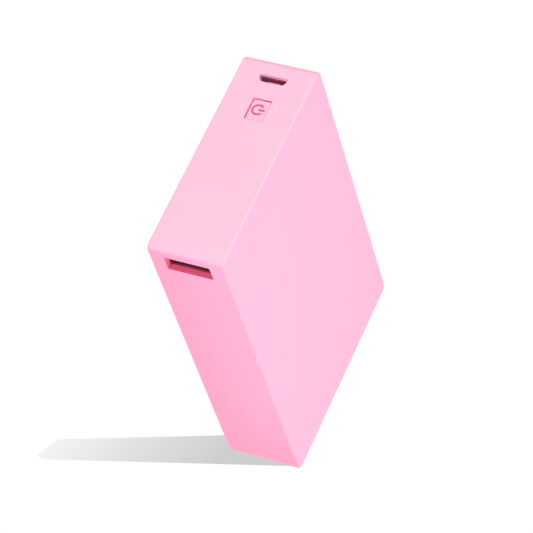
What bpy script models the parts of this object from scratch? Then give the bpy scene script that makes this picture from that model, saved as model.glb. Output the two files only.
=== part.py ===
"""A pocket power bank, lying on its back cover. Metres, +Z up.

X is the width, with the USB-A outlet at -X. Y is the length, with the micro-USB inlet and the power button at
+Y. Z is the thickness, with the back cover at 0. The case holds two flat pouch cells and a board that stands
across the +Y end, so that both sockets and the button sit on one board.
"""

import math

import bmesh
import bpy
from mathutils import Matrix, Vector

MM = 0.001

# The case
WIDTH = 66.0 * MM
LENGTH = 105.0 * MM
THICKNESS = 22.5 * MM
WALL = 1.8 * MM
CORNER_RADIUS = 2.0 * MM
RIM_RADIUS = 0.6 * MM
INNER_CORNER_RADIUS = 0.9 * MM
WINDOW_RADIUS = 0.5 * MM

# The back cover sits in a rebate, inside a thin lip of the shell
COVER_THICKNESS = 1.6 * MM
LIP = 0.9 * MM
SEAM = 0.15 * MM
COVER_EDGE_RADIUS = 0.2 * MM
HOOK_WIDTH = 6.0 * MM
HOOK_THICKNESS = 1.2 * MM
HOOK_HEIGHT = 4.8 * MM
HOOK_TO_WALL = 0.4 * MM
BARB_REACH = 1.0 * MM
BARB_HEIGHT = 1.2 * MM
BARB_SLOPE = 0.8 * BARB_REACH
SLOT_DEPTH = 0.95 * MM
SIDE_HOOKS_Y = (-30.0 * MM, 16.0 * MM)

# Space between neighbours, and how far a cutter runs past what it cuts
GAP = 0.3 * MM
OVERRUN = 5.0 * MM
OVERLAP = 0.4 * MM

# Where the middle of the case is through its thickness: both sockets and the button are centred on it
MIDDLE_Z = THICKNESS / 2

# USB-A outlet, in the -X wall near the +Y end
USB_A_Y = LENGTH / 2 - 5.75 * MM
USB_A_WINDOW = (5.3 * MM, 13.4 * MM)
USB_A_OUTER = (14.0 * MM, 5.7 * MM, 13.1 * MM)
USB_A_OUTER_RADIUS = 0.6 * MM
USB_A_METAL = 0.3 * MM
USB_A_BLOCK_LENGTH = 3.0 * MM
USB_A_BLOCK_CLEARANCE = 0.15 * MM
USB_A_BLOCK_RADIUS = 0.2 * MM
USB_A_TONGUE = (1.84 * MM, 11.1 * MM)
USB_A_TONGUE_SETBACK = 2.25 * MM
USB_A_TONGUE_OFFSET = 1.1 * MM
USB_A_CONTACT = (0.2 * MM, 1.0 * MM)
USB_A_CONTACT_SETBACK = 0.7 * MM
USB_A_CONTACT_CLEARANCE = 0.15 * MM
USB_A_CONTACTS_Z = (-3.5 * MM, -1.0 * MM, 1.0 * MM, 3.5 * MM)
USB_A_LEGS_X = (5.0 * MM, 11.0 * MM)
LEG = (1.6 * MM, 2.4 * MM, 0.3 * MM)

# Micro-USB inlet, in the +Y wall near the +X side. Its profile narrows towards -X
MICRO_X = WIDTH / 2 - 6.5 * MM
MICRO_WINDOW = (2.3 * MM, 8.0 * MM)
MICRO_WINDOW_RADIUS = 0.55 * MM
MICRO_OUTER = (2.4 * MM, 7.5 * MM)
MICRO_OUTER_RADIUS = 0.6 * MM
MICRO_INNER = (1.85 * MM, 6.9 * MM)
MICRO_INNER_RADIUS = 0.4 * MM
MICRO_RELIEF = (3.0 * MM, 8.1 * MM)
MICRO_LIP = 0.95 * MM
MICRO_NARROWING = 0.78
MICRO_TONGUE = (0.6 * MM, 3.7 * MM)
MICRO_TONGUE_SETBACK = 0.6 * MM
MICRO_TONGUE_OFFSET = 0.1 * MM
MICRO_FLOOR = 0.5 * MM

# Power button, beside the micro-USB inlet, over its switch
BUTTON_X = WIDTH / 2 - 16.8 * MM
BUTTON_HOLE = (7.1 * MM, 5.6 * MM)
BUTTON_CLEARANCE = 0.2 * MM
BUTTON_CAP_RADIUS = 0.35 * MM
BUTTON_RIM_RADIUS = 0.12 * MM
BUTTON_FLANGE = (8.8 * MM, 7.2 * MM)
BUTTON_FLANGE_THICKNESS = 0.8 * MM
BUTTON_FLANGE_RADIUS = 0.6 * MM
BUTTON_STEM = 3.0 * MM
SWITCH_SIDE = 6.2 * MM
SWITCH_HEIGHT = 3.5 * MM
SWITCH_RADIUS = 0.3 * MM
PLUNGER_RADIUS = 1.6 * MM
PLUNGER_RIM_RADIUS = 0.2 * MM
PLUNGER_STANDS = 1.25 * MM
PLUNGER_SUNK = 0.65 * MM
SWITCH_WELL_RADIUS = 1.85 * MM
SWITCH_WELL_DEPTH = 1.1 * MM

# Main board, across the +Y end, with the sockets on its outer face
BOARD_OUTER_Y = USB_A_Y - USB_A_OUTER[1] / 2 - GAP
BOARD_THICKNESS = 1.2 * MM
BOARD_SIZE = (61.2 * MM, 18.0 * MM)
BOARD_Z = 2.2 * MM
BOARD_RADIUS = 0.8 * MM
RAIL_DEPTH = 1.4 * MM
RAIL_THICKNESS = 1.3 * MM
RAIL_START_Z = 6.0 * MM
STOP_RIB = (4.0 * MM, 1.5 * MM)
STOP_RIBS_X = (-11.0 * MM, 11.0 * MM)

# What stands on the board's inner face: name, (X, Z), side, height, finish, corner radius
CHIPS = (
    ("boost_inductor", (-6.0 * MM, 11.2 * MM), 7.3 * MM, 3.6 * MM, "ferrite", 1.0 * MM),
    ("power_controller", (5.0 * MM, 11.2 * MM), 5.0 * MM, 0.9 * MM, "chip", 0.0),
    ("mosfet_1", (13.0 * MM, 7.0 * MM), 3.3 * MM, 0.9 * MM, "chip", 0.0),
    ("mosfet_2", (13.0 * MM, 15.4 * MM), 3.3 * MM, 0.9 * MM, "chip", 0.0),
)
CAPACITORS = (("input_capacitor", (21.0 * MM, 6.4 * MM)), ("output_capacitor", (-15.0 * MM, 6.4 * MM)))
CAPACITOR_RADIUS = 2.0 * MM
CAPACITOR_HEIGHT = 3.2 * MM
CAPACITOR_RIM_RADIUS = 0.3 * MM

# Cells, tape and foam, counted up from the cover
FOAM_THICKNESS = 0.6 * MM
TAPE_THICKNESS = 0.3 * MM
CELL = (58.0 * MM, 82.4 * MM, 7.9 * MM)
CELL_START_Y = -LENGTH / 2 + WALL + HOOK_TO_WALL + HOOK_THICKNESS + GAP
CELL_RADIUS = 2.2 * MM
CELL_RIM_RADIUS = 0.8 * MM
TERRACE = (54.0 * MM, 1.8 * MM, 1.0 * MM)
FOAM = (44.0 * MM, 72.0 * MM)
TAPE = (50.0 * MM, 74.0 * MM)
LAYER_RADIUS = 1.5 * MM
TAB = (5.0 * MM, 1.4 * MM, 0.3 * MM)
TAB_X = 12.0 * MM
GUARD_BOARD = (44.0 * MM, 0.8 * MM, 13.0 * MM)
GUARD_BOARD_RADIUS = 0.6 * MM
GUARD_CHIP = (5.0 * MM, 1.0 * MM, 3.0 * MM)
LEAD_RADIUS = 0.75 * MM
LEADS_X = (18.4 * MM, 22.4 * MM)
LEAD_BEND = 3.0 * MM
LEAD_STEPS = 8

# Edges sharper than this stay sharp in the shading
CREASE_ANGLE = math.radians(35)


# ---------------------------------------------------------------- scene and materials

def clear_scene():
    for obj in list(bpy.data.objects):
        bpy.data.objects.remove(obj)


def new_collection(name):
    made = bpy.data.collections.new(name)
    bpy.context.scene.collection.children.link(made)
    return made


def plastic(name, colour, roughness):
    return material(name, colour, roughness, 0.0)


def metal(name, colour, roughness):
    return material(name, colour, roughness, 1.0)


def material(name, colour, roughness, metallic):
    made = bpy.data.materials.new(name)
    made.use_nodes = True
    shader = made.node_tree.nodes["Principled BSDF"]
    shader.inputs["Base Color"].default_value = (*colour, 1.0)
    shader.inputs["Roughness"].default_value = roughness
    shader.inputs["Metallic"].default_value = metallic
    made.diffuse_color = (*colour, 1.0)
    return made


# ---------------------------------------------------------------- shapes

def edges_along(bm, axis):
    """The edges that run along one axis: 0 is X, 1 is Y, 2 is Z."""
    found = []
    for edge in bm.edges:
        run = edge.verts[1].co - edge.verts[0].co
        if abs(run[axis]) > 0.99 * run.length:
            found.append(edge)
    return found


def edges_at_ends(bm, axis, half):
    """The outline edges of a prism's two end faces."""
    return [
        edge for edge in bm.edges
        if abs(edge.verts[0].co[axis] - edge.verts[1].co[axis]) < 1e-7
        and abs(abs(edge.verts[0].co[axis]) - half) < 1e-7
    ]


def round_edges(bm, edges, radius, segments):
    bmesh.ops.bevel(
        bm, geom=edges, offset=radius, offset_type="OFFSET", segments=segments, profile=0.5, affect="EDGES",
    )


def block_mesh(name, size, axis=2, side=(0, 1), rim=(0, 1), narrowing=1.0):
    """A block centred on its origin. side is the (radius, segments) of the edges along axis, rim that of the
    edges round its two ends. A narrowing under 1 draws in the -X side, for a profile with one narrow side."""
    bm = bmesh.new()
    bmesh.ops.create_cube(bm, size=1.0)
    bmesh.ops.scale(bm, vec=Vector(size), verts=bm.verts)
    for vert in bm.verts:
        if narrowing < 1.0 and vert.co.x < 0:
            vert.co.z *= narrowing
    if side[0] > 0:
        round_edges(bm, edges_along(bm, axis), *side)
    if rim[0] > 0:
        round_edges(bm, edges_at_ends(bm, axis, size[axis] / 2), *rim)
    mesh = bpy.data.meshes.new(name)
    bm.to_mesh(mesh)
    bm.free()
    return mesh


def place(name, mesh, centre, finish, where):
    obj = bpy.data.objects.new(name, mesh)
    obj.location = centre
    if finish:
        mesh.materials.append(finish)
        mesh.shade_smooth()
        mesh.set_sharp_from_angle(angle=CREASE_ANGLE)
    else:
        obj.hide_render = True
        obj.display_type = "WIRE"
    where.objects.link(obj)
    return obj


def block(name, centre, size, finish, where, **edges):
    return place(name, block_mesh(name, size, **edges), centre, finish, where)


def rod(name, centre, radius, height, finish, where, rim=0.0, segments=24):
    """A cylinder along Y."""
    bm = bmesh.new()
    turn = Matrix.Rotation(math.radians(90), 4, "X")
    bmesh.ops.create_cone(
        bm, cap_ends=True, segments=segments, radius1=radius, radius2=radius, depth=height, matrix=turn,
    )
    if rim > 0:
        round_edges(bm, edges_at_ends(bm, 1, height / 2), rim, 2)
    mesh = bpy.data.meshes.new(name)
    bm.to_mesh(mesh)
    bm.free()
    return place(name, mesh, centre, finish, where)


def wire(name, points, radius, finish, where):
    curve = bpy.data.curves.new(name, "CURVE")
    curve.dimensions = "3D"
    curve.bevel_depth = radius
    curve.bevel_resolution = 2
    curve.use_fill_caps = True
    spline = curve.splines.new("POLY")
    spline.points.add(len(points) - 1)
    for knot, point in zip(spline.points, points):
        knot.co = (*point, 1.0)
    curve.materials.append(finish)
    obj = bpy.data.objects.new(name, curve)
    where.objects.link(obj)
    return obj


def boolean(target, tool, operation):
    modifier = target.modifiers.new(tool.name, "BOOLEAN")
    modifier.operation = operation
    modifier.solver = "EXACT"
    modifier.object = tool


def cut(target, tool):
    boolean(target, tool, "DIFFERENCE")


def join(target, tool):
    boolean(target, tool, "UNION")


def along(axis, half, across=0.0):
    """A point at half along X or Y, and at across along the other."""
    return (half, across) if axis == 0 else (across, half)


def box_from(centre_xy, size_xy, z_low, z_high):
    """(centre, size) of a box from its plan and its lowest and highest Z."""
    return (*centre_xy, (z_low + z_high) / 2), (*size_xy, z_high - z_low)


# ---------------------------------------------------------------- case

def hook_places():
    """(axis, sign, position across) of each snap hook: two on each long side, one at each end."""
    sides = [(0, sign, y) for sign in (-1, 1) for y in SIDE_HOOKS_Y]
    return sides + [(1, sign, 0.0) for sign in (-1, 1)]


def inner_half(axis):
    return (WIDTH, LENGTH)[axis] / 2 - WALL


def make_main_shell(parts, cutters, finish):
    """Front face and four sides in one moulding, open at the back."""
    shell = block(
        "main_shell", (0, 0, THICKNESS / 2), (WIDTH, LENGTH, THICKNESS), finish, parts,
        side=(CORNER_RADIUS, 8), rim=(RIM_RADIUS, 4),
    )
    centre, size = box_from((0, 0), (WIDTH - 2 * WALL, LENGTH - 2 * WALL), -OVERRUN, THICKNESS - WALL)
    cut(shell, block("cut_cavity", centre, size, None, cutters, side=(INNER_CORNER_RADIUS, 4)))
    centre, size = box_from((0, 0), (WIDTH - 2 * LIP, LENGTH - 2 * LIP), -OVERRUN, COVER_THICKNESS + SEAM)
    cut(shell, block("cut_rebate", centre, size, None, cutters, side=(CORNER_RADIUS - LIP, 4)))
    for tool in board_rails(cutters):
        join(shell, tool)
    for tool in socket_windows(cutters) + hook_slots(cutters):
        cut(shell, tool)
    return shell


def board_rails(cutters):
    """Rails on the side walls and short ribs on the front wall, which hold the main board's edges."""
    top = THICKNESS - WALL + OVERLAP
    under_y = BOARD_OUTER_Y - BOARD_THICKNESS - GAP - RAIL_THICKNESS / 2
    over_y = BOARD_OUTER_Y + GAP + RAIL_THICKNESS / 2
    rail_x = inner_half(0) + OVERLAP / 2 - RAIL_DEPTH / 2
    made = []
    for name, x, y in (
        ("rail_outlet", -rail_x, under_y),
        ("rail_inlet_under", rail_x, under_y),
        ("rail_inlet_over", rail_x, over_y),
    ):
        centre, size = box_from((x, y), (RAIL_DEPTH + OVERLAP, RAIL_THICKNESS), RAIL_START_Z, top)
        made.append(block(name, centre, size, None, cutters))
    for number, x in enumerate(STOP_RIBS_X, 1):
        low = THICKNESS - WALL - STOP_RIB[1]
        centre, size = box_from((x, under_y), (STOP_RIB[0], RAIL_THICKNESS), low, top)
        made.append(block(f"stop_rib_{number}", centre, size, None, cutters))
    return made


def socket_windows(cutters):
    """The openings in the walls for the two sockets and the button."""
    through = WALL + 2 * OVERRUN
    wall_x, wall_y = (WIDTH - WALL) / 2, (LENGTH - WALL) / 2
    usb_a = block(
        "cut_usb_a", (-wall_x, USB_A_Y, MIDDLE_Z), (WALL + 2 * OVERLAP, *USB_A_WINDOW), None, cutters,
        axis=0, side=(WINDOW_RADIUS, 4),
    )
    micro = block(
        "cut_micro_usb", (MICRO_X, wall_y, MIDDLE_Z), (MICRO_WINDOW[0], through, MICRO_WINDOW[1]),
        None, cutters, axis=1, side=(MICRO_WINDOW_RADIUS, 4), narrowing=MICRO_NARROWING,
    )
    # The relief lets the inlet stand into the wall, and runs to the back so that the board can slide in.
    relief_top = MIDDLE_Z + MICRO_RELIEF[1] / 2
    relief_end = LENGTH / 2 - MICRO_LIP
    relief_y = (relief_end + inner_half(1) - OVERLAP) / 2
    centre, size = box_from(
        (MICRO_X, relief_y), (MICRO_RELIEF[0], relief_end - inner_half(1) + OVERLAP), -OVERRUN, relief_top,
    )
    relief = block("cut_micro_relief", centre, size, None, cutters)
    button = block(
        "cut_button", (BUTTON_X, wall_y, MIDDLE_Z), (BUTTON_HOLE[0], through, BUTTON_HOLE[1]),
        None, cutters, axis=1, side=(WINDOW_RADIUS, 4),
    )
    return [usb_a, micro, relief, button]


def hook_slots(cutters):
    """Blind slots inside the walls, which the cover's barbs spring into."""
    made = []
    centre_z = COVER_THICKNESS + HOOK_HEIGHT - BARB_HEIGHT / 2
    for number, (axis, sign, across) in enumerate(hook_places(), 1):
        half = sign * (inner_half(axis) + (SLOT_DEPTH - OVERLAP) / 2)
        size = along(axis, SLOT_DEPTH + OVERLAP, HOOK_WIDTH + 2 * GAP)
        centre, extent = box_from(
            along(axis, half, across), size, centre_z - BARB_HEIGHT / 2 - GAP, centre_z + BARB_HEIGHT / 2 + GAP,
        )
        made.append(block(f"cut_hook_slot_{number}", centre, extent, None, cutters))
    return made


def make_back_cover(parts, cutters, finish):
    plate = (WIDTH - 2 * (LIP + SEAM), LENGTH - 2 * (LIP + SEAM), COVER_THICKNESS)
    cover = block(
        "back_cover", (0, 0, COVER_THICKNESS / 2), plate, finish, parts,
        side=(CORNER_RADIUS - LIP - SEAM, 4), rim=(COVER_EDGE_RADIUS, 2),
    )
    top = COVER_THICKNESS + HOOK_HEIGHT
    for number, (axis, sign, across) in enumerate(hook_places(), 1):
        arm_face = inner_half(axis) - HOOK_TO_WALL
        arm_half = sign * (arm_face - HOOK_THICKNESS / 2)
        arm_size = along(axis, HOOK_THICKNESS, HOOK_WIDTH)
        centre, size = box_from(along(axis, arm_half, across), arm_size, COVER_THICKNESS - OVERLAP, top)
        join(cover, block(f"hook_arm_{number}", centre, size, None, cutters))
        join(cover, barb(f"hook_barb_{number}", axis, sign, across, arm_face, top, cutters))
    return cover


def barb(name, axis, sign, across, arm_face, top, cutters):
    """The hook's wedge: a flat catch below and a slope above, so that it rides in and then locks."""
    reach = BARB_REACH + OVERLAP
    half = arm_face + (BARB_REACH - OVERLAP) / 2
    centre, size = box_from(
        along(axis, sign * half, across), along(axis, reach, HOOK_WIDTH), top - BARB_HEIGHT, top - OVERLAP / 4,
    )
    made = block(name, centre, size, None, cutters)
    for vert in made.data.vertices:
        if vert.co.z > 0 and vert.co[axis] * sign > 0:
            vert.co[axis] -= sign * BARB_SLOPE
    return made


# ---------------------------------------------------------------- board and sockets

def make_main_board(parts, cutters, finish):
    centre = (0, BOARD_OUTER_Y - BOARD_THICKNESS / 2, BOARD_Z + BOARD_SIZE[1] / 2)
    board = block(
        "main_board", centre, (BOARD_SIZE[0], BOARD_THICKNESS, BOARD_SIZE[1]), finish, parts,
        axis=1, side=(BOARD_RADIUS, 3),
    )
    for number, (x, z) in enumerate(leg_places(), 1):
        size = (LEG[0] + 2 * GAP, BOARD_THICKNESS + 2 * OVERLAP, LEG[2] + 2 * GAP)
        cut(board, block(f"cut_leg_slot_{number}", (x, centre[1], z), size, None, cutters))
    return board


def usb_a_front():
    """X of the USB-A outlet's metal mouth, just inside the case wall."""
    return -inner_half(0) + SEAM


def leg_places():
    half = USB_A_OUTER[2] / 2 - LEG[2] / 2
    return [(usb_a_front() + x, MIDDLE_Z + side * half) for x in USB_A_LEGS_X for side in (-1, 1)]


def make_usb_a_shell(parts, cutters, finish):
    length = USB_A_OUTER[0]
    front = usb_a_front()
    shell = block(
        "usb_a_shell", (front + length / 2, USB_A_Y, MIDDLE_Z), USB_A_OUTER, finish, parts,
        axis=0, side=(USB_A_OUTER_RADIUS, 3),
    )
    inner = [side - 2 * USB_A_METAL for side in USB_A_OUTER[1:]]
    hollow = length - USB_A_METAL + OVERLAP
    cut(shell, block(
        "cut_usb_a_hollow", (front - OVERLAP + hollow / 2, USB_A_Y, MIDDLE_Z), (hollow, *inner), None, cutters,
        axis=0, side=(USB_A_OUTER_RADIUS - USB_A_METAL, 3),
    ))
    leg_y = USB_A_Y - USB_A_OUTER[1] / 2 + OVERLAP * 2 - LEG[1] / 2
    for number, (x, z) in enumerate(leg_places(), 1):
        join(shell, block(f"leg_{number}", (x, leg_y, z), LEG, None, cutters))
    return shell


def make_usb_a_insulator(parts, cutters, finish):
    """The moulded block at the back of the outlet, and the tongue that carries the contacts."""
    back = usb_a_front() + USB_A_OUTER[0] - USB_A_METAL - GAP
    inner_y, inner_z = (side - 2 * (USB_A_METAL + USB_A_BLOCK_CLEARANCE) for side in USB_A_OUTER[1:])
    insulator = block(
        "usb_a_insulator", (back - USB_A_BLOCK_LENGTH / 2, USB_A_Y, MIDDLE_Z),
        (USB_A_BLOCK_LENGTH, inner_y, inner_z), finish, parts, axis=0, side=(USB_A_BLOCK_RADIUS, 2),
    )
    start = usb_a_front() + USB_A_TONGUE_SETBACK
    end = back - USB_A_BLOCK_LENGTH + OVERLAP
    join(insulator, block(
        "usb_a_tongue", ((start + end) / 2, tongue_y(), MIDDLE_Z), (end - start, *USB_A_TONGUE), None, cutters,
    ))
    return insulator


def tongue_y():
    """The tongue sits nearer the +Y side, away from the board, with its contacts on its board side."""
    return USB_A_Y + USB_A_TONGUE_OFFSET


def make_usb_a_contacts(parts, finish):
    thickness, width = USB_A_CONTACT
    start = usb_a_front() + USB_A_TONGUE_SETBACK + USB_A_CONTACT_SETBACK
    end = usb_a_front() + USB_A_OUTER[0] - USB_A_METAL - 2 * GAP - USB_A_BLOCK_LENGTH
    y = tongue_y() - USB_A_TONGUE[0] / 2 - USB_A_CONTACT_CLEARANCE - thickness / 2
    for number, z in enumerate(USB_A_CONTACTS_Z, 1):
        block(
            f"usb_a_contact_{number}", ((start + end) / 2, y, MIDDLE_Z + z), (end - start, thickness, width),
            finish, parts,
        )


def micro_rim_y():
    return LENGTH / 2 - MICRO_LIP - SEAM


def make_micro_usb(parts, cutters, shell_finish, insulator_finish):
    base = BOARD_OUTER_Y + GAP
    rim = micro_rim_y()
    shell = block(
        "micro_usb_shell", (MICRO_X, (base + rim) / 2, MIDDLE_Z), (MICRO_OUTER[0], rim - base, MICRO_OUTER[1]),
        shell_finish, parts, axis=1, side=(MICRO_OUTER_RADIUS, 4), narrowing=MICRO_NARROWING,
    )
    floor = base + MICRO_FLOOR
    hollow_end = rim + OVERLAP
    cut(shell, block(
        "cut_micro_hollow", (MICRO_X, (floor + hollow_end) / 2, MIDDLE_Z),
        (MICRO_INNER[0], hollow_end - floor, MICRO_INNER[1]), None, cutters,
        axis=1, side=(MICRO_INNER_RADIUS, 4), narrowing=MICRO_NARROWING,
    ))
    start, end = floor + GAP / 2, rim - MICRO_TONGUE_SETBACK
    block(
        "micro_usb_tongue", (MICRO_X + MICRO_TONGUE_OFFSET, (start + end) / 2, MIDDLE_Z),
        (MICRO_TONGUE[0], end - start, MICRO_TONGUE[1]), insulator_finish, parts,
    )


def make_switch(parts, cutters, body_finish, plunger_finish):
    base = BOARD_OUTER_Y + GAP
    top = base + SWITCH_HEIGHT
    body = block(
        "switch_body", (BUTTON_X, (base + top) / 2, MIDDLE_Z), (SWITCH_SIDE, SWITCH_HEIGHT, SWITCH_SIDE),
        body_finish, parts, axis=1, side=(SWITCH_RADIUS, 2),
    )
    well = SWITCH_WELL_DEPTH + OVERLAP
    cut(body, rod(
        "cut_switch_well", (BUTTON_X, top + OVERLAP - well / 2, MIDDLE_Z), SWITCH_WELL_RADIUS, well,
        None, cutters,
    ))
    height = PLUNGER_STANDS + PLUNGER_SUNK
    rod(
        "switch_plunger", (BUTTON_X, top + PLUNGER_STANDS - height / 2, MIDDLE_Z), PLUNGER_RADIUS, height,
        plunger_finish, parts, rim=PLUNGER_RIM_RADIUS,
    )


def make_power_button(parts, cutters, finish):
    """Cap, flange and stem in one moulding. The flange stops it from coming out through the wall."""
    cap_x, cap_z = (side - 2 * BUTTON_CLEARANCE for side in BUTTON_HOLE)
    flange_top = inner_half(1) - GAP
    flange_low = flange_top - BUTTON_FLANGE_THICKNESS
    cap_low = flange_top - OVERLAP
    outer = LENGTH / 2
    button = block(
        "power_button", (BUTTON_X, (cap_low + outer) / 2, MIDDLE_Z), (cap_x, outer - cap_low, cap_z),
        finish, parts, axis=1, side=(BUTTON_CAP_RADIUS, 4), rim=(BUTTON_RIM_RADIUS, 2),
    )
    join(button, block(
        "button_flange", (BUTTON_X, (flange_low + flange_top) / 2, MIDDLE_Z),
        (BUTTON_FLANGE[0], BUTTON_FLANGE_THICKNESS, BUTTON_FLANGE[1]), None, cutters,
        axis=1, side=(BUTTON_FLANGE_RADIUS, 3),
    ))
    stem_low = BOARD_OUTER_Y + GAP + SWITCH_HEIGHT + PLUNGER_STANDS + GAP
    stem_top = flange_low + OVERLAP
    join(button, block(
        "button_stem", (BUTTON_X, (stem_low + stem_top) / 2, MIDDLE_Z),
        (BUTTON_STEM, stem_top - stem_low, BUTTON_STEM), None, cutters,
    ))
    return button


def make_board_components(parts, finishes):
    """What stands on the board's inner face, towards the cells."""
    face = BOARD_OUTER_Y - BOARD_THICKNESS - GAP
    for name, (x, z), side, height, finish, radius in CHIPS:
        block(
            name, (x, face - height / 2, z), (side, height, side), finishes[finish], parts,
            axis=1, side=(radius, 3),
        )
    for name, (x, z) in CAPACITORS:
        rod(
            name, (x, face - CAPACITOR_HEIGHT / 2, z), CAPACITOR_RADIUS, CAPACITOR_HEIGHT,
            finishes["aluminium"], parts, rim=CAPACITOR_RIM_RADIUS, segments=20,
        )


# ---------------------------------------------------------------- cells

def stack():
    """Lowest Z of each layer between the cover and the front wall."""
    layers = {}
    z = COVER_THICKNESS + GAP
    for name, thickness in (
        ("foam_pad_back", FOAM_THICKNESS), ("cell_back", CELL[2]), ("cell_tape", TAPE_THICKNESS),
        ("cell_front", CELL[2]), ("foam_pad_front", FOAM_THICKNESS),
    ):
        layers[name] = z
        z += thickness + GAP
    return layers


def cell_end_y():
    return CELL_START_Y + CELL[1]


def make_cells(parts, cutters, finishes):
    middle_y = CELL_START_Y + CELL[1] / 2
    for name, low in stack().items():
        if name.startswith("foam"):
            size, finish = (*FOAM, FOAM_THICKNESS), finishes["foam"]
        elif name == "cell_tape":
            size, finish = (*TAPE, TAPE_THICKNESS), finishes["tape"]
        else:
            make_cell(name, low, middle_y, parts, cutters, finishes)
            continue
        block(name, (0, middle_y, low + size[2] / 2), size, finish, parts, side=(LAYER_RADIUS, 3))


def make_cell(name, low, middle_y, parts, cutters, finishes):
    """A pouch cell: its body, the sealed terrace at its +Y end, and the two tabs that leave the terrace."""
    middle_z = low + CELL[2] / 2
    cell = block(
        name, (0, middle_y, middle_z), CELL, finishes["pouch"], parts,
        side=(CELL_RADIUS, 4), rim=(CELL_RIM_RADIUS, 2),
    )
    terrace = (TERRACE[0], TERRACE[1] + 2 * MM, TERRACE[2])
    terrace_y = cell_end_y() + TERRACE[1] - terrace[1] / 2
    join(cell, block(f"{name}_terrace", (0, terrace_y, middle_z), terrace, None, cutters))
    tab_y = cell_end_y() + TERRACE[1] + GAP + TAB[1] / 2
    for pole, x in (("positive", -TAB_X), ("negative", TAB_X)):
        block(f"{name}_tab_{pole}", (x, tab_y, middle_z), TAB, finishes["nickel"], parts)


def make_protection(parts, finishes):
    """The cells' protection board, its chip between the terraces, and the leads to the main board."""
    low_y = cell_end_y() + TERRACE[1] + GAP + TAB[1] + GAP
    block(
        "protection_board", (0, low_y + GUARD_BOARD[1] / 2, MIDDLE_Z), GUARD_BOARD, finishes["board"], parts,
        axis=1, side=(GUARD_BOARD_RADIUS, 2),
    )
    chip_y = low_y - GAP - GUARD_CHIP[1] / 2
    block("protection_chip", (0, chip_y, MIDDLE_Z), GUARD_CHIP, finishes["chip"], parts)
    start_y = low_y + GUARD_BOARD[1] + GAP
    end_y = BOARD_OUTER_Y - BOARD_THICKNESS - GAP
    for pole, x in zip(("positive", "negative"), LEADS_X):
        route = lead_route(x, start_y, end_y)
        wire(f"battery_lead_{pole}", route, LEAD_RADIUS, finishes[f"lead_{pole}"], parts)


def lead_route(x, start_y, end_y):
    """A short S from one board to the other, straight at both ends."""
    points = []
    for step in range(LEAD_STEPS + 1):
        share = step / LEAD_STEPS
        ease = 0.5 - 0.5 * math.cos(math.pi * share)
        points.append((x, start_y + share * (end_y - start_y), MIDDLE_Z + LEAD_BEND * ease))
    return points


# ---------------------------------------------------------------- assembly

def make_power_bank():
    parts = new_collection("power_bank")
    cutters = new_collection("cutters")
    case = plastic("case_plastic", (1.0, 0.55, 0.73), 0.45)
    black = plastic("black_plastic", (0.02, 0.02, 0.022), 0.45)
    steel = metal("socket_steel", (0.62, 0.62, 0.64), 0.3)
    copper = metal("contact_gold", (0.8, 0.6, 0.3), 0.3)
    board = plastic("board_green", (0.02, 0.16, 0.07), 0.4)
    finishes = {
        "ferrite": plastic("ferrite", (0.06, 0.06, 0.065), 0.6),
        "chip": plastic("chip_black", (0.015, 0.015, 0.016), 0.5),
        "aluminium": metal("can_aluminium", (0.75, 0.76, 0.78), 0.35),
        "foam": plastic("foam_grey", (0.1, 0.1, 0.1), 0.95),
        "tape": plastic("tape_white", (0.8, 0.8, 0.78), 0.7),
        "pouch": metal("pouch_foil", (0.6, 0.61, 0.63), 0.4),
        "nickel": metal("tab_nickel", (0.66, 0.63, 0.58), 0.35),
        "board": board,
        "lead_positive": plastic("lead_red", (0.5, 0.02, 0.02), 0.5),
        "lead_negative": plastic("lead_black", (0.02, 0.02, 0.02), 0.5),
    }
    make_main_shell(parts, cutters, case)
    make_back_cover(parts, cutters, case)
    make_power_button(parts, cutters, case)
    make_main_board(parts, cutters, board)
    make_usb_a_shell(parts, cutters, steel)
    make_usb_a_insulator(parts, cutters, black)
    make_usb_a_contacts(parts, copper)
    make_micro_usb(parts, cutters, steel, black)
    make_switch(parts, cutters, black, black)
    make_board_components(parts, finishes)
    make_cells(parts, cutters, finishes)
    make_protection(parts, finishes)


clear_scene()
make_power_bank()
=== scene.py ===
"""The looks of the power bank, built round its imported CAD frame.

Metres, in the CAD's frame: the bank lies on its back cover, with X its width, Y its length and Z its
thickness. The stage shows it standing on the corner edge between its -X and -Y sides, so the stage's floor is
a slanted plane in this frame.
"""

import math

import bmesh
import bpy
from mathutils import Matrix, Vector


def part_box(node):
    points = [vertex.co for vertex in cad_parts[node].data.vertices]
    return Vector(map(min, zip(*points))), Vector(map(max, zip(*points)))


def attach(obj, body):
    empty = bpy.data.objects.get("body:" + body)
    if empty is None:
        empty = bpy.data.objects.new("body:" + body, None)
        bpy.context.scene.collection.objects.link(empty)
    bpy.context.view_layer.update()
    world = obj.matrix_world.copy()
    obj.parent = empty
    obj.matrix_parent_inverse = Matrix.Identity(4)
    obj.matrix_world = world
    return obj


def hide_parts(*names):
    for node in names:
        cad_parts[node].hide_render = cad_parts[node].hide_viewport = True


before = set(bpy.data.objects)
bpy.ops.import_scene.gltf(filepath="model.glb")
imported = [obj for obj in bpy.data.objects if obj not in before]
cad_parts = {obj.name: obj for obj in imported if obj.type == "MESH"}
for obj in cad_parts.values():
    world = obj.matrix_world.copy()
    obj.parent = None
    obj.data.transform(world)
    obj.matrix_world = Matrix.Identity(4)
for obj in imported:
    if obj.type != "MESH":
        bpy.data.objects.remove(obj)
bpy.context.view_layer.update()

MM = 0.001

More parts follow.
